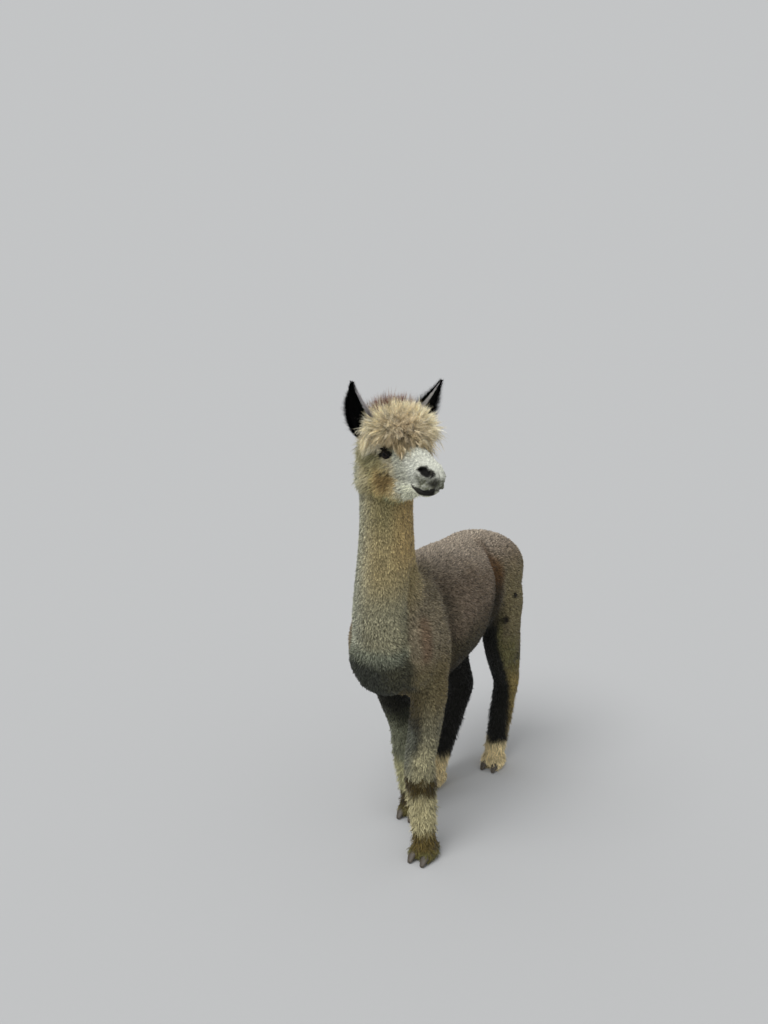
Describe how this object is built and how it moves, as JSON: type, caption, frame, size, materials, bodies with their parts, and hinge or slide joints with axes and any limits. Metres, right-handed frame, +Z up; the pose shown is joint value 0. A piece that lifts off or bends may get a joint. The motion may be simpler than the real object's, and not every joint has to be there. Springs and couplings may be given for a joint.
{
  "type": "alpaca",
  "caption": "Life-size shorn alpaca walking with its head turned to its left: round woolly topknot, upright ears, long neck, deep body, slender two-toed legs and a short tail.",
  "frame": {"origin": "on the floor, under the centre of the whole animal's bounding box", "axes": "+Z up; the trunk faces -Y; the animal's left side is at +X; the head is turned about 65 degrees to its left"},
  "size_m": [0.4052, 1.0476, 1.4519],
  "materials": {
    "face": "short off-white hair",
    "wool": "long cream wool in locks",
    "ear": "short black hair",
    "eye": "wet, glossy, near black",
    "neck_fleece": "short olive-fawn fleece",
    "body_fleece": "short grey-brown fleece",
    "leg": "short fleece, black to cream",
    "nail": "dull dark horn"
  },
  "bodies": {
    "root": {"head": "face", "lower_jaw": "face", "topknot": "wool", "ear_left": "ear", "ear_right": "ear", "eye_left": "eye", "eye_right": "eye", "neck": "neck_fleece", "trunk": "body_fleece", "tail": "body_fleece", "foreleg_left_upper": "leg", "foreleg_left_lower": "leg", "foreleg_left_foot": "leg", "foreleg_right_upper": "leg", "foreleg_right_lower": "leg", "foreleg_right_foot": "leg", "hindleg_left_upper": "leg", "hindleg_left_lower": "leg", "hindleg_left_foot": "leg", "hindleg_right_upper": "leg", "hindleg_right_lower": "leg", "hindleg_right_foot": "leg", "foreleg_left_nail_inner": "nail", "foreleg_left_nail_outer": "nail", "foreleg_right_nail_inner": "nail", "foreleg_right_nail_outer": "nail", "hindleg_left_nail_inner": "nail", "hindleg_left_nail_outer": "nail", "hindleg_right_nail_inner": "nail", "hindleg_right_nail_outer": "nail"}
  },
  "joints": []
}
